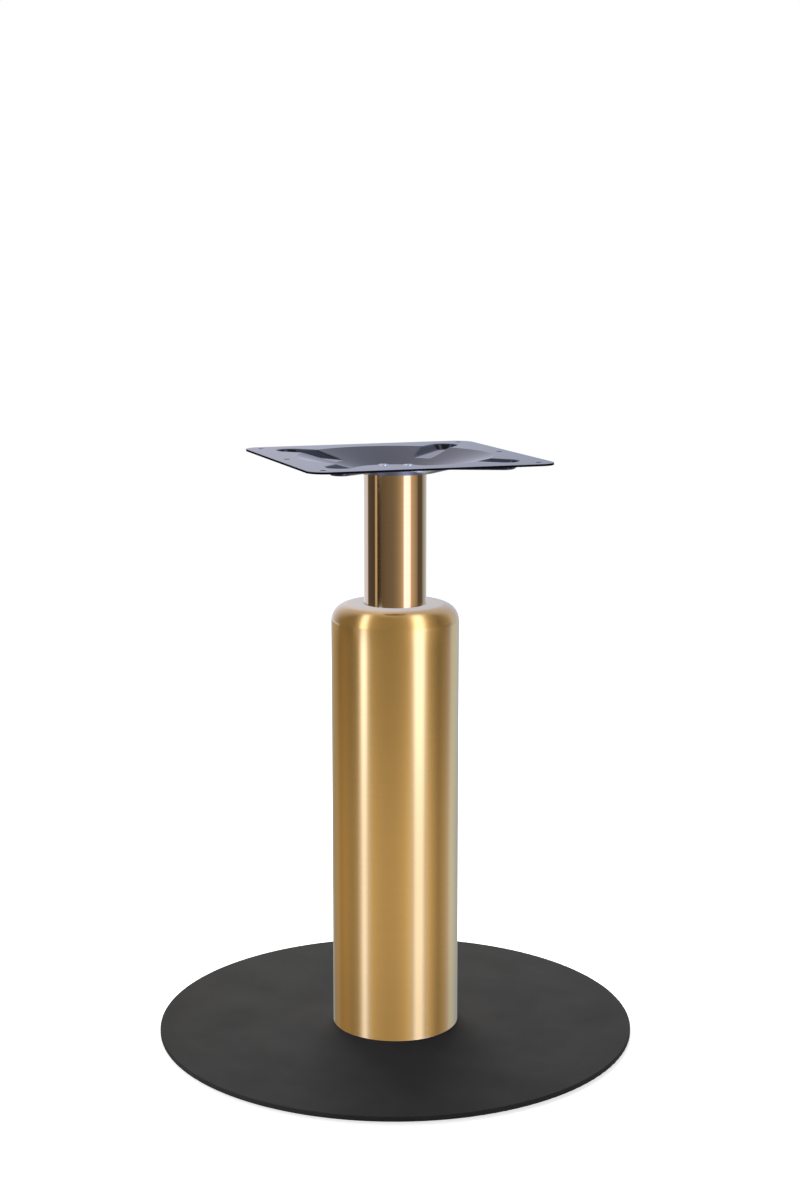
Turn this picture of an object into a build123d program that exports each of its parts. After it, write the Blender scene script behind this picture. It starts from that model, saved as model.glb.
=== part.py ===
"""Pedestal table base: a flat round disc, a wide cover sleeve, a post and a pressed top plate.

Millimetres, +Z up. The origin is on the column's axis, on the floor under the pads.
X and Y run along the top plate's sides.
"""

import os
from math import cos, radians, sin, tan

from build123d import *

# Overall
overall_height = 720.0

# Base disc, cut from flat steel plate
disc_diameter = 590.0
disc_thickness = 6.0
disc_edge_radius = 1.2

# Rubber pads stuck under the disc
pad_count = 6
pad_diameter = 24.0
pad_thickness = 2.0
pad_edge_radius = 0.5
pad_rim_margin = 12.0

# Post, a round tube with a flange on its foot and a tapped cap in its top end
post_diameter = 76.0
post_wall = 2.0
flange_thickness = 8.0
flange_edge_chamfer = 1.0
foot_weld_leg = 5.0
cap_thickness = 10.0
cap_clearance = 0.1
cap_weld_leg = 3.0

# Cover sleeve with a spun shoulder, standing on the disc round the post
cover_diameter = 156.0
cover_height = 532.0
cover_wall = 1.5
cover_shoulder_radius = 21.0
cover_foot_gap = 0.5
cover_post_gap = 0.5

# Pressed top plate
plate_side = 300.0
plate_corner_radius = 22.0
sheet_thickness = 2.5
dish_lip_radius = 118.0
dish_floor_radius = 52.0
dish_depth = 16.5
bead_count = 4
bead_first_deg = 45.0
bead_reach = 161.0
bead_width = 34.0
bead_end_depth = 7.2
bead_fall_deg = 2.4
bead_draft_deg = 40.0
bead_floor_radius = 5.0
dish_floor_blend = 12.0
press_lip_radius = 5.0
mount_hole_diameter = 7.0
corner_hole_inset = 19.0
side_hole_inset = 15.0

# Screws of one thread size
thread_diameter = 8.0
thread_clearance = 0.1
clearance_hole_diameter = 9.0
socket_across_flats = 5.0
socket_depth = 2.6

# Countersunk screws, up through the disc into the flange
base_screw_count = 4
base_screw_first_deg = 45.0
base_screw_end_gap = 2.0
base_screw_head_diameter = 16.0
base_screw_head_rim = 0.4

# Flanged button-head screws, down through the dish floor into the cap
plate_screw_count = 4
plate_screw_first_deg = 22.5
plate_screw_end_gap = 0.5
plate_screw_rim_margin = 14.5
button_flange_diameter = 17.5
button_flange_thickness = 1.2
button_head_diameter = 14.0
button_head_height = 4.4
button_top_diameter = 8.0

# Heights and lengths that follow from the sizes above
disc_bottom = pad_thickness
disc_top = disc_bottom + disc_thickness
flange_top = disc_top + flange_thickness
post_top = overall_height - dish_depth - sheet_thickness
dish_floor_top = overall_height - dish_depth
base_screw_length = disc_thickness + flange_thickness - base_screw_end_gap
plate_screw_length = sheet_thickness + cap_thickness - plate_screw_end_gap

# Radii that follow from the sizes above
post_radius = post_diameter / 2
post_bore_radius = post_radius - post_wall
cap_radius = post_bore_radius - cap_clearance
cover_radius = cover_diameter / 2
cover_bore_radius = cover_radius - cover_wall
flange_radius = cover_bore_radius - cover_foot_gap
foot_weld_radius = post_radius + foot_weld_leg
pad_circle_radius = disc_diameter / 2 - pad_rim_margin - pad_diameter / 2
base_screw_circle_radius = (foot_weld_radius + flange_radius) / 2
plate_screw_circle_radius = cap_radius - plate_screw_rim_margin
tapped_hole_radius = thread_diameter / 2 + thread_clearance

# The beads' floors, from their lips, depth and draft
bead_wall_run = bead_end_depth * tan(radians(bead_draft_deg))
bead_floor_reach = bead_reach - bead_wall_run
bead_floor_width = bead_width - 2 * bead_wall_run


def ring_places(count, radius, first_deg, height):
    """Evenly spaced places on a circle round the column's axis."""
    angles = [radians(first_deg + 360 * index / count) for index in range(count)]
    return [Pos(radius * cos(angle), radius * sin(angle), height) for angle in angles]


def disc(radius, bottom, thickness):
    """A plain round plate with its underside at the given height."""
    return Pos(0, 0, bottom) * Cylinder(radius, thickness, align=(Align.CENTER, Align.CENTER, Align.MIN))


def turned(*points):
    """A solid turned about the column's axis from an outline of radius and height pairs."""
    outline = make_face(Polyline(*points, close=True))
    return revolve(Plane.XZ * outline, axis=Axis.Z)


def hex_socket():
    """The hexagonal key socket of a screw head, rising from the local origin."""
    return extrude(RegularPolygon(socket_across_flats / 2, 6, major_radius=False), amount=socket_depth)


base_screw_places = ring_places(
    base_screw_count, base_screw_circle_radius, base_screw_first_deg, disc_bottom
)
plate_screw_places = ring_places(
    plate_screw_count, plate_screw_circle_radius, plate_screw_first_deg, dish_floor_top
)


def countersunk_form(shank_radius):
    """A right-angled countersunk head with its shank, head face at the local origin, shank upwards."""
    head_radius = base_screw_head_diameter / 2
    return turned(
        (0, 0),
        (head_radius, 0),
        (head_radius, base_screw_head_rim),
        (shank_radius, base_screw_head_rim + head_radius - shank_radius),
        (shank_radius, base_screw_length),
        (0, base_screw_length),
    )


def base_plate():
    """The floor disc, with rounded edges and countersunk holes under the flange."""
    plate = disc(disc_diameter / 2, disc_bottom, disc_thickness)
    plate = fillet(plate.edges().filter_by(GeomType.CIRCLE), disc_edge_radius)
    for place in base_screw_places:
        plate -= place * countersunk_form(clearance_hole_diameter / 2)
    return plate


def floor_pad(place):
    """One rubber pad, with its lower edge rounded."""
    pad = disc(pad_diameter / 2, 0, pad_thickness)
    pad = fillet(pad.edges().group_by(Axis.Z)[0], pad_edge_radius)
    return place * pad


def base_screws():
    """The countersunk screws that hold the flange to the disc."""
    screw = countersunk_form(thread_diameter / 2) - hex_socket()
    return [place * screw for place in base_screw_places]


def post_flange():
    """The plate on the post's foot, tapped for the base screws."""
    flange = disc(flange_radius, disc_top, flange_thickness)
    flange = chamfer(flange.edges().group_by(Axis.Z)[-1], flange_edge_chamfer)
    for place in base_screw_places:
        flange -= place * disc(tapped_hole_radius, 0, flange_top)
    return flange


def foot_weld():
    """The fillet weld round the post's foot, on the flange."""
    return turned(
        (post_radius, flange_top),
        (foot_weld_radius, flange_top),
        (post_radius, flange_top + foot_weld_leg),
    )


def post_tube():
    """The post, from its flange to the underside of the dish."""
    length = post_top - flange_top
    return disc(post_radius, flange_top, length) - disc(post_bore_radius, flange_top, length)


def post_cap():
    """The tapped disc that closes the post's top end, flush with it."""
    cap = disc(cap_radius, post_top - cap_thickness, cap_thickness)
    for place in plate_screw_places:
        cap -= Pos(place.position.X, place.position.Y) * disc(tapped_hole_radius, 0, post_top)
    return cap


def cap_weld():
    """The fillet weld under the cap, inside the post."""
    cap_bottom = post_top - cap_thickness
    return turned(
        (post_bore_radius, cap_bottom),
        (post_bore_radius - cap_weld_leg, cap_bottom),
        (post_bore_radius, cap_bottom - cap_weld_leg),
    )


def column_cover():
    """The sleeve round the post: a straight wall, a round shoulder and a hole for the post."""
    outside = disc(cover_radius, disc_top, cover_height)
    outside = fillet(outside.edges().group_by(Axis.Z)[-1], cover_shoulder_radius)
    inside = disc(cover_bore_radius, disc_top, cover_height - cover_wall)
    inside = fillet(inside.edges().group_by(Axis.Z)[-1], cover_shoulder_radius - cover_wall)
    post_hole = disc(post_radius + cover_post_gap, disc_top, cover_height)
    return outside - inside - post_hole


def bead_form(angle_deg):
    """One drafted bead out from the centre, with a rounded bottom edge and a floor that falls inwards."""
    length = bead_floor_reach + bead_floor_width / 2
    floor = Pos(-length / 2, 0) * SlotOverall(length, bead_floor_width)
    bead = extrude(floor, amount=dish_depth, taper=-bead_draft_deg)
    bead = fillet(bead.faces().sort_by(Axis.Z)[0].edges(), bead_floor_radius)
    outer_end = Pos(bead_floor_reach, 0, -bead_end_depth) * Rot(0, -bead_fall_deg, 0)
    return Rot(0, 0, angle_deg) * outer_end * bead


def dish_form():
    """The dish as a shallow cone with a rounded bottom edge, its seam turned under a bead."""
    cone = turned((0, 0), (dish_lip_radius, 0), (dish_floor_radius, -dish_depth), (0, -dish_depth))
    cone = fillet(cone.edges().group_by(Axis.Z)[0], dish_floor_blend)
    return Rot(0, 0, bead_first_deg) * cone


def press_punch():
    """The press tool: a flat block with the dish and beads under it, blended into each other."""
    block_height = 2 * dish_depth
    block = Pos(0, 0, block_height / 2) * Box(2 * plate_side, 2 * plate_side, block_height)
    dish = dish_form()
    beads = [bead_form(bead_first_deg + 360 * index / bead_count) for index in range(bead_count)]
    punch = block + (dish + beads)
    valleys = new_edges(block, dish, *beads, combined=punch)
    lips = [edge for face in punch.faces() for wire in face.inner_wires() for edge in wire.edges()]
    return fillet(valleys + lips, press_lip_radius)


def mount_hole_places():
    """The screw holes for the table top: one in each corner and one on each X side."""
    corner = plate_side / 2 - corner_hole_inset
    side = plate_side / 2 - side_hole_inset
    corners = [Pos(x, y) for x in (-corner, corner) for y in (-corner, corner)]
    return corners + [Pos(-side, 0), Pos(side, 0)]


def top_plate():
    """The sheet between the press tool's face and the same face one sheet thickness lower."""
    punch = press_punch()
    reach = 2 * (dish_depth + sheet_thickness)
    blank = RectangleRounded(plate_side, plate_side, plate_corner_radius)
    for place in mount_hole_places():
        blank -= place * Circle(mount_hole_diameter / 2)
    for place in plate_screw_places:
        blank -= Pos(place.position.X, place.position.Y) * Circle(clearance_hole_diameter / 2)
    prism = extrude(blank, amount=reach, both=True)
    sheet = (prism & Pos(0, 0, -sheet_thickness) * punch) - punch
    return Pos(0, 0, overall_height) * sheet


def plate_screws():
    """The flanged button-head screws that hold the top plate to the post's cap."""
    shank = thread_diameter / 2
    flange = button_flange_diameter / 2
    head = button_head_diameter / 2
    top = button_top_diameter / 2
    outline = Polyline(
        (top, button_head_height),
        (0, button_head_height),
        (0, -plate_screw_length),
        (shank, -plate_screw_length),
        (shank, 0),
        (flange, 0),
        (flange, button_flange_thickness),
        (head, button_flange_thickness),
    )
    dome = TangentArc((head, button_flange_thickness), (top, button_head_height), tangent=(0, 1))
    screw = revolve(Plane.XZ * make_face(outline + dome), axis=Axis.Z)
    screw -= Pos(0, 0, button_head_height - socket_depth) * hex_socket()
    return [place * screw for place in plate_screw_places]


# The pieces, each a node of its own; the screws of one kind share a node
nodes = {
    "base_plate": base_plate(),
    "base_screws": Compound(children=base_screws()),
    "post_flange": post_flange(),
    "foot_weld": foot_weld(),
    "post_tube": post_tube(),
    "post_cap": post_cap(),
    "cap_weld": cap_weld(),
    "column_cover": column_cover(),
    "top_plate": top_plate(),
    "plate_screws": Compound(children=plate_screws()),
}
for number, place in enumerate(ring_places(pad_count, pad_circle_radius, 0, 0), start=1):
    nodes[f"floor_pad_{number}"] = floor_pad(place)

os.makedirs("parts", exist_ok=True)
for name, solid in nodes.items():
    export_step(solid, f"parts/{name}.step")
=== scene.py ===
"""Looks of the pedestal table base: brushed brass cover, satin brass post, black coated disc and plate.

Metres, +Z up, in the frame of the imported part.
"""

import math

import bmesh
import bpy
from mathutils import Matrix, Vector


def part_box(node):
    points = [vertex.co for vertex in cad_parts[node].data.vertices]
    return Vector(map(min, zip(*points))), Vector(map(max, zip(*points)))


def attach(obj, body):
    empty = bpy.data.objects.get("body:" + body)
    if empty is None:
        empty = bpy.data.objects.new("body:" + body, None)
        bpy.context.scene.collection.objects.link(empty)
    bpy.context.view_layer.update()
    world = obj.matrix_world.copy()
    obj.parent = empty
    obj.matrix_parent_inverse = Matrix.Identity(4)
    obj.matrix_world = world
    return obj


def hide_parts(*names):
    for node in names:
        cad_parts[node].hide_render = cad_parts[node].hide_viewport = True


# Camera of the photograph, round the column's axis
CAMERA_AZIMUTH = math.radians(-19.15)
CAMERA_DISTANCE = 2.3971
CAMERA_HEIGHT = 0.9665
CAMERA_PITCH = math.radians(10.01)
CAMERA_YAW = math.radians(0.14)
CAMERA_LENS_MM = 59.985
SENSOR_MM = 36.0

# Tints of the studio's surfaces, and full white
WHITE = (1.0, 1.0, 1.0, 1.0)
PLAIN = (1.0, 1.0, 1.0)
WARM = (1.05, 0.90, 0.60)
SKY = (0.87, 1.02, 1.15)
COOL = (0.90, 1.02, 1.70)
COLD = (0.84, 1.08, 2.1)
MIST = (0.86, 1.10, 1.40)

# Bands that the post mirrors, low on the studio's walls: each has a bearing in degrees to the right
# of the camera from the column, a brightness and a tint
POST_BANDS = (
    (-180.0, 0.75, SKY),
    (-148.0, 0.98, SKY),
    (-134.0, 1.04, SKY),
    (-122.0, 1.15, COOL),
    (-114.5, 0.14, PLAIN),
    (-80.0, 0.10, PLAIN),
    (-77.0, 0.75, PLAIN),
    (-70.0, 0.75, PLAIN),
    (-67.5, 0.06, PLAIN),
    (-57.0, 0.08, PLAIN),
    (-50.0, 0.17, PLAIN),
    (-30.0, 0.22, PLAIN),
    (-10.0, 0.25, PLAIN),
    (6.0, 0.36, PLAIN),
    (18.0, 0.52, PLAIN),
    (29.0, 0.85, PLAIN),
    (34.0, 2.60, COOL),
    (55.0, 2.50, COOL),
    (61.0, 0.85, PLAIN),
    (74.0, 0.62, PLAIN),
    (86.0, 0.42, PLAIN),
    (93.0, 0.14, PLAIN),
    (115.0, 0.14, PLAIN),
    (122.0, 0.50, SKY),
    (143.0, 0.67, SKY),
    (180.0, 0.75, SKY),
)

# Bands that the cover mirrors, on the reflector ring and high on the studio's walls
COVER_BANDS = (
    (-180.0, 0.50, PLAIN),
    (-164.0, 0.44, WARM),
    (-140.0, 0.36, WARM),
    (-124.0, 0.215, WARM),
    (-105.0, 0.27, WARM),
    (-86.0, 0.21, PLAIN),
    (-71.0, 0.27, PLAIN),
    (-66.0, 0.70, COLD),
    (-62.0, 2.40, COLD),
    (-54.5, 2.40, COLD),
    (-50.5, 0.75, COLD),
    (-44.5, 0.42, PLAIN),
    (-31.0, 0.355, PLAIN),
    (-15.0, 0.325, PLAIN),
    (0.0, 0.335, PLAIN),
    (15.0, 0.39, PLAIN),
    (25.5, 0.52, PLAIN),
    (32.0, 0.90, COLD),
    (37.0, 2.40, COLD),
    (50.0, 2.40, COLD),
    (55.0, 1.00, COLD),
    (62.0, 0.48, PLAIN),
    (71.5, 0.33, PLAIN),
    (86.0, 0.19, PLAIN),
    (105.0, 0.31, PLAIN),
    (117.0, 0.40, COOL),
    (125.0, 0.68, MIST),
    (136.0, 0.70, MIST),
    (159.0, 0.64, SKY),
    (180.0, 0.50, PLAIN),
)

# Rise of a direction where the post's bands end and the cover's begin, and how grey these are up there
POST_BANDS_TOP = -0.108
COVER_BANDS_FOOT = -0.096
HIGH_GREY = 0.45

# Backdrop in reflections, by the parts of a direction that point away from the camera and sideways:
# where it starts and is full, how far it bows, its two halves, and its darker sides
BACKDROP_START = -0.30
BACKDROP_FULL = 0.45
BACKDROP_BOW = 0.7
BACKDROP_LEFT = (0.78, 0.80, 0.97, 1.0)
BACKDROP_RIGHT = (0.59, 0.63, 0.79, 1.0)
BACKDROP_TURN = 0.10
SIDES = (0.53, 0.60, 0.85, 1.0)
SIDES_START = 0.08
SIDES_FULL = 0.30
SIDES_NEAR = 0.72
SIDES_FAR = 0.95

# Soft light on all that doesn't mirror, from in front of the column to behind it
SOFT_FRONT = (0.06, 0.06, 0.06, 1.0)
SOFT_BEHIND = (1.0, 1.0, 1.0, 1.0)
SOFT_SIDE = -1.0
SOFT_START = -0.3
SOFT_FULL = 0.8
SOFT_LOW = (1.2, 1.2, 1.2, 1.0)
SOFT_LOW_TOP = 0.3

# Soft key light, above and behind the column and a little to the left
KEY_RIGHT = -0.15
KEY_AWAY = 1.50
KEY_HEIGHT = 1.65
KEY_SIZE = 1.40
KEY_WATTS = 52.0
KEY_AIM_HEIGHT = 0.10

# Reflector ring low round the disc, which only reflections show. Down to the lift height, dim bands are
# lifted and bright ones fade, and those behind the column take one level. The foot is dimmer
RING_RADIUS = 0.60
RING_BOTTOM = -0.60
RING_TOP = 0.437
RING_STEPS = 128
RING_REACH = 0.53
RING_LIFT_HEIGHT = 0.05
RING_DIM = 0.50
RING_LIFT = 1.5
RING_BRIGHT = 1.0
RING_FADE = 0.69
RING_BACK = 0.82
RING_BACK_START = 0.25
RING_BACK_FULL = 0.48
RING_FOOT = 0.84
RING_FOOT_START = -0.03
RING_FOOT_FULL = -0.20

# Floor
FLOOR_RADIUS = 6.0
FLOOR_STEPS = 64
FLOOR_COLOUR = (0.85, 0.85, 0.85, 1.0)
FLOOR_ROUGHNESS = 0.9
FLOOR_GLOW = 0.75

# Noise in the finishes: brushed lines, fine grain and slow clouds, and where it turns shade into colour
LINE_DETAIL = 4.0
LINE_ROUGHNESS = 0.65
LINE_SHADE = 0.30
LINE_COLOUR = 0.70
GRAIN_DETAIL = 2.0
GRAIN_ROUGHNESS = 0.5
GRAIN_WEIGHT = 0.5
GRAIN_SHADE = 0.35
GRAIN_COLOUR = 0.65
CLOUD_DETAIL = 3.0
CLOUD_ROUGHNESS = 0.55
NOISE_MIDDLE = 0.5

# Cover and post
COVER_WALL = 0.0015
COVER_SHOULDER = 0.021
COVER_POST_GAP = 0.0005
POST_WALL = 0.002
EDGE_BREAK = 0.0003

# Screws and pads
SHANK_RADIUS = 0.004
SOCKET_SIDES = 6
SOCKET_FLATS = 0.005
SOCKET_DEPTH = 0.0026
SOCKET_OVERRUN = 0.0005
BUTTON_FLANGE_RADIUS = 0.00875
BUTTON_FLANGE_THICKNESS = 0.0012
BUTTON_HEAD_RADIUS = 0.007
BUTTON_TOP_RADIUS = 0.004
BUTTON_HEAD_HEIGHT = 0.0044
BUTTON_DOME_STEPS = 5
BUTTON_LENGTH = 0.012
BUTTON_RING_RADIUS = 0.0214
BUTTON_FIRST_ANGLE = math.radians(22.5)
COUNTERSUNK_RADIUS = 0.008
COUNTERSUNK_RIM = 0.0004
COUNTERSUNK_LENGTH = 0.012
COUNTERSUNK_RING_RADIUS = 0.0595
COUNTERSUNK_FIRST_ANGLE = math.radians(45)
SCREW_COUNT = 4
PAD_RADIUS = 0.012
PAD_EDGE = 0.0005
PAD_RING_RADIUS = 0.271
PAD_COUNT = 6

# Upright part of the normal where the coat is dull, on a cut edge, and where it is full
CUT_TILT = 0.15
COATED_TILT = 0.45

# Turning: steps round, steps of an arc in a section, and the circle that a section follows
COLUMN_STEPS = 256
SMALL_STEPS = 48
ARC_STEPS = 24
PATH_RADIUS = 0.05

# Shading of meshes
MERGE_DISTANCE = 1e-6
SHARP_ANGLE = math.radians(35)

# Colour sockets of a Mix node, by number because its names repeat for each kind of value
MIX_FIRST = 6
MIX_SECOND = 7
MIX_RESULT = 2

# Colour ramps of bearings run a full turn, with straight to the camera in the middle
FULL_TURN = 360.0
RAMP_MIDDLE = 0.5

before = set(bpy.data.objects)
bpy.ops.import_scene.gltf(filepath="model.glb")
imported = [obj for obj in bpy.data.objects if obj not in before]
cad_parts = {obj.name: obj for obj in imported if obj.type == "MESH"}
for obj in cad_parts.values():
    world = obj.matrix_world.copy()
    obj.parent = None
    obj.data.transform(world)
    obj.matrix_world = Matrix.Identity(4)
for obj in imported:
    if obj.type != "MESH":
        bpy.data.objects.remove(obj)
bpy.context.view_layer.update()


# Small helpers for node trees
def set_input(tree, socket, value):
    """Joins a socket to another one, or gives it a plain value."""
    if isinstance(value, bpy.types.NodeSocket):
        tree.links.new(value, socket)
    else:
        socket.default_value = value


def add_node(tree, kind, inputs=None, **settings):
    """A node with its settings, and its inputs by name or number, each a socket or a plain value."""
    node = tree.nodes.new(kind)
    for name, value in settings.items():
        setattr(node, name, value)
    for name, value in (inputs or {}).items():
        set_input(tree, node.inputs[name], value)
    return node


def calculate(tree, operation, *values):
    """The result of a Math node on up to three values."""
    return add_node(tree, "ShaderNodeMath", dict(enumerate(values)), operation=operation).outputs[0]


def combine(tree, x, y, z):
    """A vector from three values."""
    return add_node(tree, "ShaderNodeCombineXYZ", {"X": x, "Y": y, "Z": z}).outputs[0]


def smooth_share(tree, value, start, full):
    """Goes smoothly from 0 at the start to 1 at the full value, which may lie above it or below."""
    inputs = {"Value": value, "From Min": start, "From Max": full}
    return add_node(tree, "ShaderNodeMapRange", inputs, interpolation_type="SMOOTHSTEP").outputs["Result"]


def mix_colours(tree, share, first, second):
    """The mix of two colours by a share."""
    node = add_node(tree, "ShaderNodeMix", data_type="RGBA")
    set_input(tree, node.inputs["Factor"], share)
    set_input(tree, node.inputs[MIX_FIRST], first)
    set_input(tree, node.inputs[MIX_SECOND], second)
    return node.outputs[MIX_RESULT]


def studio_axes(tree, place):
    """A direction or place as parts to the right of, away from and above the camera's heading."""
    turn = add_node(tree, "ShaderNodeMapping", {"Vector": place, "Rotation": (0.0, 0.0, -CAMERA_AZIMUTH)})
    return add_node(tree, "ShaderNodeSeparateXYZ", {"Vector": turn.outputs["Vector"]}).outputs


def colour_by_bearing(tree, axes, reach, rows):
    """Light from rows of bearing, brightness and tint, for a direction or place of a given reach.

    The half-angle form of the bearing keeps a band in line over the column's rounded shoulder.
    """
    half_bearing = calculate(tree, "ARCTAN2", axes["X"], calculate(tree, "SUBTRACT", reach, axes["Y"]))
    share = calculate(tree, "MULTIPLY_ADD", half_bearing, 1 / math.pi, RAMP_MIDDLE)
    ramp = add_node(tree, "ShaderNodeValToRGB", {"Fac": share})
    stops = ramp.color_ramp.elements
    while len(stops) < len(rows):
        stops.new(1.0)
    brightest = max(level * max(tint) for degrees, level, tint in rows)
    for stop, (degrees, level, tint) in zip(stops, rows):
        stop.position = degrees / FULL_TURN + RAMP_MIDDLE
        stop.color = (*[level * part / brightest for part in tint], 1.0)
    scaled = add_node(tree, "ShaderNodeVectorMath", {0: ramp.outputs["Color"]}, operation="SCALE")
    scaled.inputs["Scale"].default_value = brightest
    return scaled.outputs[0]


def seen_share(tree):
    """1 for what the camera sees, straight or through glass, else 0."""
    path = add_node(tree, "ShaderNodeLightPath").outputs
    return calculate(tree, "MAXIMUM", path["Is Camera Ray"], path["Is Transmission Ray"])


# Stage: camera, surroundings and floor
def make_camera():
    """The photograph's camera, level from side to side and pitched down."""
    data = bpy.data.cameras.new("photo_camera")
    data.sensor_width = SENSOR_MM
    data.lens = CAMERA_LENS_MM
    camera = bpy.data.objects.new("photo_camera", data)
    camera.location = (
        math.sin(CAMERA_AZIMUTH) * CAMERA_DISTANCE,
        -math.cos(CAMERA_AZIMUTH) * CAMERA_DISTANCE,
        CAMERA_HEIGHT,
    )
    camera.rotation_euler = (math.pi / 2 - CAMERA_PITCH, 0.0, CAMERA_AZIMUTH - CAMERA_YAW)
    bpy.context.scene.collection.objects.link(camera)
    bpy.context.scene.camera = camera


def mirrored_room(tree, axes):
    """What metal and gloss show: banded walls, and a backdrop behind the column."""
    low_walls = colour_by_bearing(tree, axes, 1.0, POST_BANDS)
    tinted_walls = colour_by_bearing(tree, axes, 1.0, COVER_BANDS)
    grey_walls = add_node(tree, "ShaderNodeRGBToBW", {"Color": tinted_walls}).outputs["Val"]
    high_walls = mix_colours(tree, HIGH_GREY, tinted_walls, grey_walls)
    right_share = smooth_share(tree, axes["X"], -BACKDROP_TURN, BACKDROP_TURN)
    middle = mix_colours(tree, right_share, BACKDROP_LEFT, BACKDROP_RIGHT)
    sideways = calculate(tree, "ABSOLUTE", axes["X"])
    aside_share = smooth_share(tree, sideways, SIDES_START, SIDES_FULL)
    near_share = smooth_share(tree, axes["Y"], SIDES_FAR, SIDES_NEAR)
    sides_share = calculate(tree, "MULTIPLY", aside_share, near_share)
    backdrop = mix_colours(tree, sides_share, middle, SIDES)
    behind = calculate(tree, "MULTIPLY_ADD", sideways, -BACKDROP_BOW, axes["Y"])
    backdrop_share = smooth_share(tree, behind, BACKDROP_START, BACKDROP_FULL)
    high_room = mix_colours(tree, backdrop_share, high_walls, backdrop)
    high_share = smooth_share(tree, axes["Z"], POST_BANDS_TOP, COVER_BANDS_FOOT)
    return mix_colours(tree, high_share, low_walls, high_room)


def plain_light(tree, axes):
    """The soft light on all that doesn't mirror, stronger from behind and from low down."""
    soft_axis = calculate(tree, "MULTIPLY_ADD", axes["X"], SOFT_SIDE, axes["Y"])
    soft_share = smooth_share(tree, soft_axis, SOFT_START, SOFT_FULL)
    soft_sky = mix_colours(tree, soft_share, SOFT_FRONT, SOFT_BEHIND)
    low_share = smooth_share(tree, axes["Z"], SOFT_LOW_TOP, 0.0)
    return mix_colours(tree, low_share, soft_sky, SOFT_LOW)


def make_studio():
    """World light: white to the camera, the mirrored room in reflections, else plain and soft."""
    world = bpy.data.worlds.new("studio")
    world.use_nodes = True
    world.cycles.sampling_method = "NONE"
    tree = world.node_tree
    tree.nodes.clear()
    axes = studio_axes(tree, add_node(tree, "ShaderNodeTexCoord").outputs["Generated"])
    glossy = add_node(tree, "ShaderNodeLightPath").outputs["Is Glossy Ray"]
    lit = mix_colours(tree, glossy, plain_light(tree, axes), mirrored_room(tree, axes))
    colour = mix_colours(tree, seen_share(tree), lit, WHITE)
    background = add_node(tree, "ShaderNodeBackground", {"Color": colour})
    add_node(tree, "ShaderNodeOutputWorld", {"Surface": background.outputs["Background"]})
    bpy.context.scene.world = world


def make_key_light():
    """One large soft lamp, which shades the disc and the plate and stays out of the reflections."""
    right = Vector((math.cos(CAMERA_AZIMUTH), math.sin(CAMERA_AZIMUTH), 0.0))
    away = Vector((-math.sin(CAMERA_AZIMUTH), math.cos(CAMERA_AZIMUTH), 0.0))
    data = bpy.data.lights.new("soft_key", "AREA")
    data.shape = "DISK"
    data.size = KEY_SIZE
    data.energy = KEY_WATTS
    lamp = bpy.data.objects.new("soft_key", data)
    lamp.location = right * KEY_RIGHT + away * KEY_AWAY + Vector((0.0, 0.0, KEY_HEIGHT))
    aim = Vector((0.0, 0.0, KEY_AIM_HEIGHT)) - lamp.location
    lamp.rotation_euler = aim.to_track_quat("-Z", "Y").to_euler()
    lamp.visible_camera = False
    lamp.visible_glossy = False
    bpy.context.scene.collection.objects.link(lamp)


def new_material(name):
    """A node material with nothing in its tree but the output."""
    material = bpy.data.materials.new(name)
    material.use_nodes = True
    tree = material.node_tree
    tree.nodes.clear()
    output = tree.nodes.new("ShaderNodeOutputMaterial")
    return material, tree, output.inputs["Surface"]


def stage_object(name, shape, material):
    """A stage object from a finished bmesh."""
    mesh = bpy.data.meshes.new(name)
    shape.to_mesh(mesh)
    shape.free()
    mesh.materials.append(material)
    thing = bpy.data.objects.new(name, mesh)
    bpy.context.scene.collection.objects.link(thing)
    return thing


def make_reflector_ring():
    """A glowing band round the disc that shows in reflections only."""
    material, tree, surface = new_material("reflector_glow")
    place = add_node(tree, "ShaderNodeTexCoord").outputs["Object"]
    axes = studio_axes(tree, place)
    bands = colour_by_bearing(tree, axes, RING_REACH, COVER_BANDS)
    level = add_node(tree, "ShaderNodeRGBToBW", {"Color": bands}).outputs["Val"]
    low_gain = add_node(tree, "ShaderNodeMapRange", {
        "Value": level,
        "From Min": RING_DIM,
        "From Max": RING_BRIGHT,
        "To Min": RING_LIFT - 1.0,
        "To Max": RING_FADE - 1.0,
    }).outputs["Result"]
    back_share = smooth_share(tree, axes["Y"], RING_BACK_START, RING_BACK_FULL)
    back_change = calculate(tree, "SUBTRACT", RING_BACK - 1.0, low_gain)
    gain = calculate(tree, "MULTIPLY_ADD", back_share, back_change, low_gain)
    low_share = smooth_share(tree, axes["Z"], RING_TOP, RING_LIFT_HEIGHT)
    lifted = calculate(tree, "MULTIPLY_ADD", low_share, gain, 1.0)
    foot_share = smooth_share(tree, axes["Z"], RING_FOOT_START, RING_FOOT_FULL)
    foot_level = calculate(tree, "MULTIPLY_ADD", foot_share, RING_FOOT - 1.0, 1.0)
    strength = calculate(tree, "MULTIPLY", lifted, foot_level)
    glow = add_node(tree, "ShaderNodeEmission", {"Color": bands, "Strength": strength})
    set_input(tree, surface, glow.outputs["Emission"])
    material.cycles.emission_sampling = "NONE"
    shape = bmesh.new()
    for height in (RING_BOTTOM, RING_TOP):
        circle = bmesh.ops.create_circle(shape, segments=RING_STEPS, radius=RING_RADIUS)
        bmesh.ops.translate(shape, verts=circle["verts"], vec=(0.0, 0.0, height))
    bmesh.ops.bridge_loops(shape, edges=shape.edges[:])
    ring = stage_object("reflector_ring", shape, material)
    ring.visible_camera = False
    ring.visible_diffuse = False
    ring.visible_shadow = False
    ring.visible_transmission = False


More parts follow.
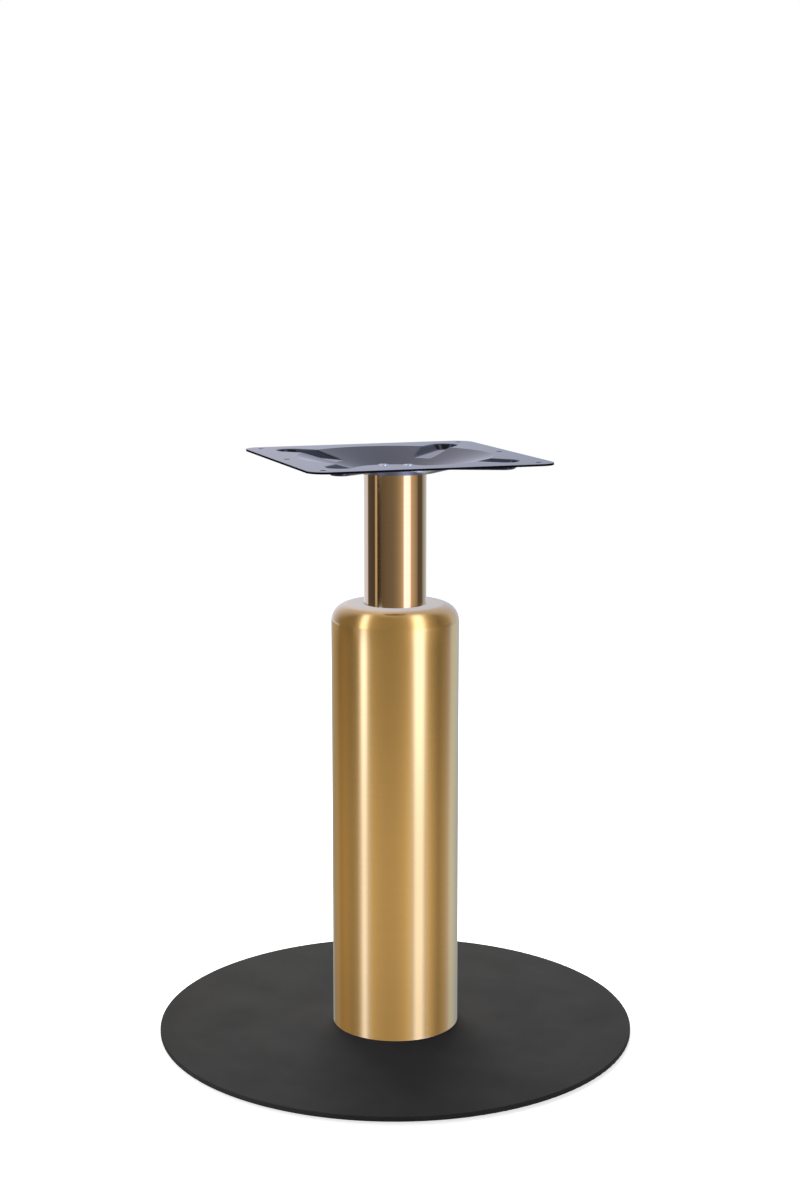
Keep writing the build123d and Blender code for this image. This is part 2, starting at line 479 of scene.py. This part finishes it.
def make_floor():
    """A round pale floor that looks white to the camera and keeps the shadow under the disc."""
    material, tree, surface = new_material("pale_floor")
    shader = add_node(tree, "ShaderNodeBsdfPrincipled", {
        "Base Color": FLOOR_COLOUR,
        "Roughness": FLOOR_ROUGHNESS,
        "Specular IOR Level": 0.0,
        "Emission Color": WHITE,
        "Emission Strength": calculate(tree, "MULTIPLY", seen_share(tree), FLOOR_GLOW),
    })
    set_input(tree, surface, shader.outputs["BSDF"])
    shape = bmesh.new()
    bmesh.ops.create_circle(shape, cap_ends=True, segments=FLOOR_STEPS, radius=FLOOR_RADIUS)
    floor = stage_object("floor", shape, material)
    floor.visible_glossy = False


# Effects that the finishes share
def shader_group(name, inputs, outputs):
    """A shader group with named inputs and outputs, its input sockets and its output node."""
    tree = bpy.data.node_groups.new(name, "ShaderNodeTree")
    for label, kind in inputs:
        tree.interface.new_socket(label, in_out="INPUT", socket_type=kind)
    for label, kind in outputs:
        tree.interface.new_socket(label, in_out="OUTPUT", socket_type=kind)
    given = tree.nodes.new("NodeGroupInput").outputs
    result = tree.nodes.new("NodeGroupOutput").inputs
    return tree, given, result


SURFACE_INPUTS = (
    ("Colour", "NodeSocketColor"),
    ("Shade", "NodeSocketColor"),
    ("Roughness", "NodeSocketFloat"),
    ("Roughness Spread", "NodeSocketFloat"),
    ("Scale", "NodeSocketFloat"),
)
SURFACE_OUTPUTS = (
    ("Color", "NodeSocketColor"),
    ("Roughness", "NodeSocketFloat"),
    ("Height", "NodeSocketFloat"),
)


def brushed_lines_group():
    """Fine lines brushed round the column, long along the brush and thin up the column."""
    tree, given, result = shader_group(
        "brushed_lines", SURFACE_INPUTS + (("Streak", "NodeSocketFloat"),), SURFACE_OUTPUTS
    )
    place = add_node(tree, "ShaderNodeTexCoord").outputs["Object"]
    stretch = combine(tree, given["Streak"], given["Streak"], given["Scale"])
    stretched = add_node(tree, "ShaderNodeVectorMath", {0: place, 1: stretch}, operation="MULTIPLY")
    lines = add_node(tree, "ShaderNodeTexNoise", {
        "Vector": stretched.outputs[0],
        "Scale": 1.0,
        "Detail": LINE_DETAIL,
        "Roughness": LINE_ROUGHNESS,
    }).outputs["Fac"]
    share = smooth_share(tree, lines, LINE_SHADE, LINE_COLOUR)
    set_input(tree, result["Color"], mix_colours(tree, share, given["Shade"], given["Colour"]))
    centred = calculate(tree, "SUBTRACT", lines, NOISE_MIDDLE)
    rough = calculate(tree, "MULTIPLY_ADD", centred, given["Roughness Spread"], given["Roughness"])
    set_input(tree, result["Roughness"], rough)
    set_input(tree, result["Height"], lines)
    return tree


def grain_group():
    """A fine even grain over slow clouds, as on powder coat, rubber and bare metal."""
    tree, given, result = shader_group(
        "fine_grain", SURFACE_INPUTS + (("Cloud Scale", "NodeSocketFloat"),), SURFACE_OUTPUTS
    )
    place = add_node(tree, "ShaderNodeTexCoord").outputs["Object"]
    grain = add_node(tree, "ShaderNodeTexNoise", {
        "Vector": place,
        "Scale": given["Scale"],
        "Detail": GRAIN_DETAIL,
        "Roughness": GRAIN_ROUGHNESS,
    }).outputs["Fac"]
    clouds = add_node(tree, "ShaderNodeTexNoise", {
        "Vector": place,
        "Scale": given["Cloud Scale"],
        "Detail": CLOUD_DETAIL,
        "Roughness": CLOUD_ROUGHNESS,
    }).outputs["Fac"]
    slow = calculate(tree, "MULTIPLY", clouds, 1.0 - GRAIN_WEIGHT)
    both = calculate(tree, "MULTIPLY_ADD", grain, GRAIN_WEIGHT, slow)
    share = smooth_share(tree, both, GRAIN_SHADE, GRAIN_COLOUR)
    set_input(tree, result["Color"], mix_colours(tree, share, given["Shade"], given["Colour"]))
    centred = calculate(tree, "SUBTRACT", both, NOISE_MIDDLE)
    rough = calculate(tree, "MULTIPLY_ADD", centred, given["Roughness Spread"], given["Roughness"])
    set_input(tree, result["Roughness"], rough)
    set_input(tree, result["Height"], grain)
    return tree


def finish(name, effect, values, bump, constants=None):
    """A finish from a shared effect with its values, a bump of a given height, and shader constants."""
    material, tree, surface = new_material(name)
    pattern = add_node(tree, "ShaderNodeGroup", node_tree=effect)
    for label, value in values.items():
        pattern.inputs[label].default_value = value
    relief = add_node(tree, "ShaderNodeBump", {"Height": pattern.outputs["Height"], "Distance": bump})
    shader = add_node(tree, "ShaderNodeBsdfPrincipled", {
        "Base Color": pattern.outputs["Color"],
        "Roughness": pattern.outputs["Roughness"],
        "Normal": relief.outputs["Normal"],
    })
    for label, value in (constants or {}).items():
        shader.inputs[label].default_value = value
    set_input(tree, surface, shader.outputs["BSDF"])
    return material


def dull_cut_edges(material, specular):
    """Takes the gloss off the upright faces, where a cut edge holds little of the coat."""
    tree = material.node_tree
    normal = add_node(tree, "ShaderNodeTexCoord").outputs["Normal"]
    upward = add_node(tree, "ShaderNodeSeparateXYZ", {"Vector": normal}).outputs["Z"]
    level_share = smooth_share(tree, calculate(tree, "ABSOLUTE", upward), CUT_TILT, COATED_TILT)
    shader = next(node for node in tree.nodes if node.type == "BSDF_PRINCIPLED")
    set_input(tree, shader.inputs["Specular IOR Level"], calculate(tree, "MULTIPLY", level_share, specular))


# Trees that shape what is turned and what repeats
def geometry_tree(name, inputs):
    """A Geometry Nodes tree with named inputs, its input sockets and its result socket."""
    tree = bpy.data.node_groups.new(name, "GeometryNodeTree")
    tree.is_modifier = True
    tree.interface.new_socket("Geometry", in_out="INPUT", socket_type="NodeSocketGeometry")
    for label, kind in inputs:
        tree.interface.new_socket(label, in_out="INPUT", socket_type=kind)
    tree.interface.new_socket("Geometry", in_out="OUTPUT", socket_type="NodeSocketGeometry")
    given = tree.nodes.new("NodeGroupInput").outputs
    result = tree.nodes.new("NodeGroupOutput").inputs["Geometry"]
    return tree, given, result


def end_tree(tree, geometry, finish_socket, result):
    """Ends a tree with real geometry in one finish."""
    real = add_node(tree, "GeometryNodeRealizeInstances", {"Geometry": geometry}).outputs["Geometry"]
    painted = add_node(tree, "GeometryNodeSetMaterial", {"Geometry": real, "Material": finish_socket})
    set_input(tree, result, painted.outputs["Geometry"])


def turning_tree():
    """Turns a section drawn in X and Z about the column's axis."""
    tree, given, result = geometry_tree(
        "turned_section", (("Steps", "NodeSocketInt"), ("Finish", "NodeSocketMaterial"))
    )
    place = add_node(tree, "GeometryNodeInputPosition").outputs["Position"]
    axes = add_node(tree, "ShaderNodeSeparateXYZ", {"Vector": place}).outputs
    outward = calculate(tree, "SUBTRACT", axes["X"], PATH_RADIUS)
    downward = calculate(tree, "MULTIPLY", axes["Z"], -1.0)
    laid = add_node(tree, "GeometryNodeSetPosition", {
        "Geometry": given["Geometry"],
        "Position": combine(tree, outward, downward, 0.0),
    })
    section = add_node(tree, "GeometryNodeMeshToCurve", {"Mesh": laid.outputs["Geometry"]})
    path = add_node(
        tree, "GeometryNodeCurvePrimitiveCircle", {"Resolution": given["Steps"], "Radius": PATH_RADIUS}
    )
    turned = add_node(tree, "GeometryNodeCurveToMesh", {
        "Curve": path.outputs["Curve"],
        "Profile Curve": section.outputs["Curve"],
    })
    closed = add_node(tree, "GeometryNodeMergeByDistance", {
        "Geometry": turned.outputs["Mesh"],
        "Distance": MERGE_DISTANCE,
    })
    end_tree(tree, closed.outputs["Geometry"], given["Finish"], result)
    return tree


def socket_tree():
    """Cuts a hexagonal key socket into a screw head."""
    tree, given, result = geometry_tree("key_socket", (
        ("Across Flats", "NodeSocketFloat"),
        ("Middle Height", "NodeSocketFloat"),
        ("Depth", "NodeSocketFloat"),
        ("Finish", "NodeSocketMaterial"),
    ))
    key = add_node(tree, "GeometryNodeMeshCylinder", {
        "Vertices": SOCKET_SIDES,
        "Radius": calculate(tree, "DIVIDE", given["Across Flats"], 2 * math.cos(math.pi / SOCKET_SIDES)),
        "Depth": given["Depth"],
    })
    placed = add_node(tree, "GeometryNodeTransform", {
        "Geometry": key.outputs["Mesh"],
        "Translation": combine(tree, 0.0, 0.0, given["Middle Height"]),
    })
    cut = add_node(tree, "GeometryNodeMeshBoolean", operation="DIFFERENCE")
    set_input(tree, cut.inputs["Mesh 1"], given["Geometry"])
    set_input(tree, cut.inputs["Mesh 2"], placed.outputs["Geometry"])
    end_tree(tree, cut.outputs["Mesh"], given["Finish"], result)
    return tree


def ring_tree():
    """Sets copies of a piece evenly on a ring round the column's axis."""
    tree, given, result = geometry_tree("set_on_ring", (
        ("Count", "NodeSocketInt"),
        ("Ring Radius", "NodeSocketFloat"),
        ("First Angle", "NodeSocketFloat"),
        ("Seat Height", "NodeSocketFloat"),
        ("Finish", "NodeSocketMaterial"),
    ))
    number = add_node(tree, "GeometryNodeInputIndex").outputs["Index"]
    step = calculate(tree, "DIVIDE", math.tau, given["Count"])
    angle = calculate(tree, "MULTIPLY_ADD", number, step, given["First Angle"])
    across = calculate(tree, "MULTIPLY", calculate(tree, "COSINE", angle), given["Ring Radius"])
    along = calculate(tree, "MULTIPLY", calculate(tree, "SINE", angle), given["Ring Radius"])
    seats = add_node(tree, "GeometryNodePoints", {
        "Count": given["Count"],
        "Position": combine(tree, across, along, given["Seat Height"]),
    })
    copies = add_node(tree, "GeometryNodeInstanceOnPoints", {
        "Points": seats.outputs["Points"],
        "Instance": given["Geometry"],
        "Rotation": combine(tree, 0.0, 0.0, angle),
    })
    end_tree(tree, copies.outputs["Instances"], given["Finish"], result)
    return tree


def shade_smooth(mesh):
    """Smooth faces with outward normals, and sharp edges where the faces meet at an angle."""
    shape = bmesh.new()
    shape.from_mesh(mesh)
    bmesh.ops.remove_doubles(shape, verts=shape.verts, dist=MERGE_DISTANCE)
    bmesh.ops.recalc_face_normals(shape, faces=shape.faces)
    for face in shape.faces:
        face.smooth = True
    for edge in shape.edges:
        edge.smooth = edge.calc_face_angle(0.0) < SHARP_ANGLE
    shape.to_mesh(mesh)
    shape.free()


def set_in_place(piece, slot, *nodes):
    """Hangs a finished piece on the root body, hides the parts that it stands in for, and keeps it out of
    the others' gloss.
    """
    piece.visible_glossy = False
    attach(piece, "root")
    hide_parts(*nodes)


def shaped_piece(name, section, closed, steps):
    """A piece worked out from its section by trees with their values, as a plain mesh."""
    mesh = bpy.data.meshes.new(name)
    count = len(section)
    edges = [(index, index + 1) for index in range(count - 1)]
    if closed:
        edges.append((count - 1, 0))
    mesh.from_pydata([(radius, 0.0, height) for radius, height in section], edges, [])
    piece = bpy.data.objects.new(name, mesh)
    bpy.context.scene.collection.objects.link(piece)
    for tree, values in steps:
        modifier = piece.modifiers.new(tree.name, "NODES")
        modifier.node_group = tree
        items = [item for item in tree.interface.items_tree if item.in_out == "INPUT"]
        sockets = {item.name: item.identifier for item in items}
        for label, value in values.items():
            modifier[sockets[label]] = value
    evaluated = piece.evaluated_get(bpy.context.evaluated_depsgraph_get())
    worked = bpy.data.meshes.new_from_object(evaluated)
    piece.modifiers.clear()
    piece.data = worked
    bpy.data.meshes.remove(mesh)
    worked.name = name
    shade_smooth(worked)
    return piece


def smooth_copy(name, node, material):
    """A merged, smoothly shaded copy of a node's mesh in a finish."""
    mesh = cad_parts[node].data.copy()
    mesh.name = name
    mesh.materials.clear()
    mesh.materials.append(material)
    shade_smooth(mesh)
    piece = bpy.data.objects.new(name, mesh)
    bpy.context.scene.collection.objects.link(piece)
    normals = piece.modifiers.new("even_shading", "WEIGHTED_NORMAL")
    normals.keep_sharp = True
    return piece


def arc(centre, radius, first, last):
    """Points of radius and height along an arc, from one angle to another in degrees."""
    points = []
    for step in range(ARC_STEPS + 1):
        angle = math.radians(first + (last - first) * step / ARC_STEPS)
        points.append((centre[0] + radius * math.cos(angle), centre[1] + radius * math.sin(angle)))
    return points


make_camera()
make_studio()
make_key_light()
make_reflector_ring()
make_floor()

# Finishes
brushed_lines = brushed_lines_group()
fine_grain = grain_group()

cover_brass = finish(
    "cover_brass",
    brushed_lines,
    {
        "Colour": (0.85, 0.470, 0.105, 1.0),
        "Shade": (0.81, 0.440, 0.094, 1.0),
        "Roughness": 0.22,
        "Roughness Spread": 0.05,
        "Scale": 2500.0,
        "Streak": 12.0,
    },
    bump=2e-6,
    constants={
        "Metallic": 1.0,
        "Anisotropic": 0.3,
        "Anisotropic Rotation": 0.25,
        "Specular Tint": (0.86, 0.98, 1.0, 1.0),
        "Coat Weight": 1.0,
        "Coat Roughness": 0.12,
        "Coat IOR": 1.6,
    },
)
post_brass = finish(
    "post_brass",
    brushed_lines,
    {
        "Colour": (0.62, 0.355, 0.130, 1.0),
        "Shade": (0.58, 0.325, 0.115, 1.0),
        "Roughness": 0.06,
        "Roughness Spread": 0.03,
        "Scale": 3500.0,
        "Streak": 16.0,
    },
    bump=3e-7,
    constants={"Metallic": 1.0, "Coat Weight": 1.0, "Coat Roughness": 0.03, "Coat IOR": 1.6},
)
disc_coat = finish(
    "disc_coat",
    fine_grain,
    {
        "Colour": (0.050, 0.0490, 0.0470, 1.0),
        "Shade": (0.038, 0.0372, 0.0355, 1.0),
        "Roughness": 0.65,
        "Roughness Spread": 0.15,
        "Scale": 1400.0,
        "Cloud Scale": 14.0,
    },
    bump=2e-5,
    constants={"Specular IOR Level": 0.05},
)
plate_coat = finish(
    "plate_coat",
    fine_grain,
    {
        "Colour": (0.012, 0.012, 0.019, 1.0),
        "Shade": (0.009, 0.009, 0.014, 1.0),
        "Roughness": 0.13,
        "Roughness Spread": 0.05,
        "Scale": 700.0,
        "Cloud Scale": 25.0,
    },
    bump=3e-6,
    constants={"Specular Tint": (1.0, 0.97, 1.0, 1.0)},
)
dull_cut_edges(plate_coat, specular=0.31)
raw_steel = finish(
    "raw_steel",
    fine_grain,
    {
        "Colour": (0.45, 0.45, 0.46, 1.0),
        "Shade": (0.33, 0.33, 0.35, 1.0),
        "Roughness": 0.45,
        "Roughness Spread": 0.25,
        "Scale": 900.0,
        "Cloud Scale": 60.0,
    },
    bump=8e-6,
    constants={"Metallic": 1.0},
)
zinc_screw = finish(
    "zinc_screw",
    fine_grain,
    {
        "Colour": (0.72, 0.72, 0.74, 1.0),
        "Shade": (0.60, 0.61, 0.65, 1.0),
        "Roughness": 0.28,
        "Roughness Spread": 0.20,
        "Scale": 2200.0,
        "Cloud Scale": 250.0,
    },
    bump=2e-6,
    constants={"Metallic": 1.0},
)
pad_rubber = finish(
    "pad_rubber",
    fine_grain,
    {
        "Colour": (0.024, 0.024, 0.024, 1.0),
        "Shade": (0.015, 0.015, 0.015, 1.0),
        "Roughness": 0.80,
        "Roughness Spread": 0.15,
        "Scale": 1800.0,
        "Cloud Scale": 90.0,
    },
    bump=2e-5,
)
for node in ("post_flange", "foot_weld", "post_cap", "cap_weld"):
    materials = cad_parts[node].data.materials
    materials.clear()
    materials.append(raw_steel)

# Pieces
turning = turning_tree()
key_socket = socket_tree()
set_on_ring = ring_tree()


def turn_step(steps, material):
    """The step that turns a section."""
    return turning, {"Steps": steps, "Finish": material}


def socket_step(middle_height):
    """The step that cuts the key socket into a screw's head."""
    return key_socket, {
        "Across Flats": SOCKET_FLATS,
        "Middle Height": middle_height,
        "Depth": SOCKET_DEPTH + SOCKET_OVERRUN,
        "Finish": zinc_screw,
    }


def ring_step(count, ring_radius, first_angle, seat_height, material):
    """The step that sets a piece on a ring of seats."""
    return set_on_ring, {
        "Count": count,
        "Ring Radius": ring_radius,
        "First Angle": first_angle,
        "Seat Height": seat_height,
        "Finish": material,
    }


cover_low, cover_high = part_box("column_cover")
post_low, post_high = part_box("post_tube")
cover_radius = cover_high.x
post_radius = post_high.x
hole_radius = post_radius + COVER_POST_GAP
shoulder_centre = (cover_radius - COVER_SHOULDER, cover_high.z - COVER_SHOULDER)
cover_section = [(cover_radius - EDGE_BREAK, cover_low.z), (cover_radius, cover_low.z + EDGE_BREAK)]
cover_section += arc(shoulder_centre, COVER_SHOULDER, 0, 90)
cover_section += [
    (hole_radius + EDGE_BREAK, cover_high.z),
    (hole_radius, cover_high.z - EDGE_BREAK),
    (hole_radius, cover_high.z - COVER_WALL),
]
cover_section += arc(shoulder_centre, COVER_SHOULDER - COVER_WALL, 90, 0)
cover_section.append((cover_radius - COVER_WALL, cover_low.z))
cover = shaped_piece("brushed_cover", cover_section, True, [turn_step(COLUMN_STEPS, cover_brass)])
set_in_place(cover, "cover_brass", "column_cover")

post_section = [
    (post_radius, post_low.z),
    (post_radius, post_high.z - EDGE_BREAK),
    (post_radius - EDGE_BREAK, post_high.z),
    (post_radius - POST_WALL, post_high.z),
    (post_radius - POST_WALL, post_low.z),
]
post = shaped_piece("satin_post", post_section, True, [turn_step(COLUMN_STEPS, post_brass)])
set_in_place(post, "post_brass", "post_tube")

disc = smooth_copy("coated_disc", "base_plate", disc_coat)
set_in_place(disc, "disc_coat", "base_plate")

plate = smooth_copy("pressed_plate", "top_plate", plate_coat)
set_in_place(plate, "plate_coat", "top_plate")

socket_middle = (SOCKET_DEPTH - SOCKET_OVERRUN) / 2
button_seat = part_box("plate_screws")[1].z - BUTTON_HEAD_HEIGHT
button_section = [
    (0.0, -BUTTON_LENGTH),
    (SHANK_RADIUS, -BUTTON_LENGTH),
    (SHANK_RADIUS, 0.0),
    (BUTTON_FLANGE_RADIUS, 0.0),
    (BUTTON_FLANGE_RADIUS, BUTTON_FLANGE_THICKNESS - EDGE_BREAK),
    (BUTTON_FLANGE_RADIUS - EDGE_BREAK, BUTTON_FLANGE_THICKNESS),
    (BUTTON_HEAD_RADIUS, BUTTON_FLANGE_THICKNESS),
]
dome_width = BUTTON_HEAD_RADIUS - BUTTON_TOP_RADIUS
dome_height = BUTTON_HEAD_HEIGHT - BUTTON_FLANGE_THICKNESS
for step in range(1, BUTTON_DOME_STEPS + 1):
    turn = step / BUTTON_DOME_STEPS * math.pi / 2
    radius = BUTTON_TOP_RADIUS + dome_width * math.cos(turn)
    button_section.append((radius, BUTTON_FLANGE_THICKNESS + dome_height * math.sin(turn)))
button_section.append((0.0, BUTTON_HEAD_HEIGHT))
button_screws = shaped_piece("button_screws", button_section, False, [
    turn_step(SMALL_STEPS, zinc_screw),
    socket_step(BUTTON_HEAD_HEIGHT - socket_middle),
    ring_step(SCREW_COUNT, BUTTON_RING_RADIUS, BUTTON_FIRST_ANGLE, button_seat, zinc_screw),
])
set_in_place(button_screws, "zinc_screw", "plate_screws")

countersunk_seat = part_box("base_screws")[0].z
cone_top = COUNTERSUNK_RIM + COUNTERSUNK_RADIUS - SHANK_RADIUS
countersunk_section = [
    (0.0, 0.0),
    (COUNTERSUNK_RADIUS, 0.0),
    (COUNTERSUNK_RADIUS, COUNTERSUNK_RIM),
    (SHANK_RADIUS, cone_top),
    (SHANK_RADIUS, COUNTERSUNK_LENGTH),
    (0.0, COUNTERSUNK_LENGTH),
]
countersunk_screws = shaped_piece("countersunk_screws", countersunk_section, False, [
    turn_step(SMALL_STEPS, zinc_screw),
    socket_step(socket_middle),
    ring_step(SCREW_COUNT, COUNTERSUNK_RING_RADIUS, COUNTERSUNK_FIRST_ANGLE, countersunk_seat, zinc_screw),
])
set_in_place(countersunk_screws, "zinc_screw", "base_screws")

pad_low, pad_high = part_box("floor_pad_1")
pad_section = [(0.0, pad_high.z), (PAD_RADIUS, pad_high.z)]
pad_section += arc((PAD_RADIUS - PAD_EDGE, pad_low.z + PAD_EDGE), PAD_EDGE, 0, -90)
pad_section.append((0.0, pad_low.z))
pads = shaped_piece("rubber_pads", pad_section, False, [
    turn_step(SMALL_STEPS, pad_rubber),
    ring_step(PAD_COUNT, PAD_RING_RADIUS, 0.0, 0.0, pad_rubber),
])
set_in_place(pads, "pad_rubber", *[f"floor_pad_{number}" for number in range(1, PAD_COUNT + 1)])

bpy.context.scene.view_settings.view_transform = "Standard"
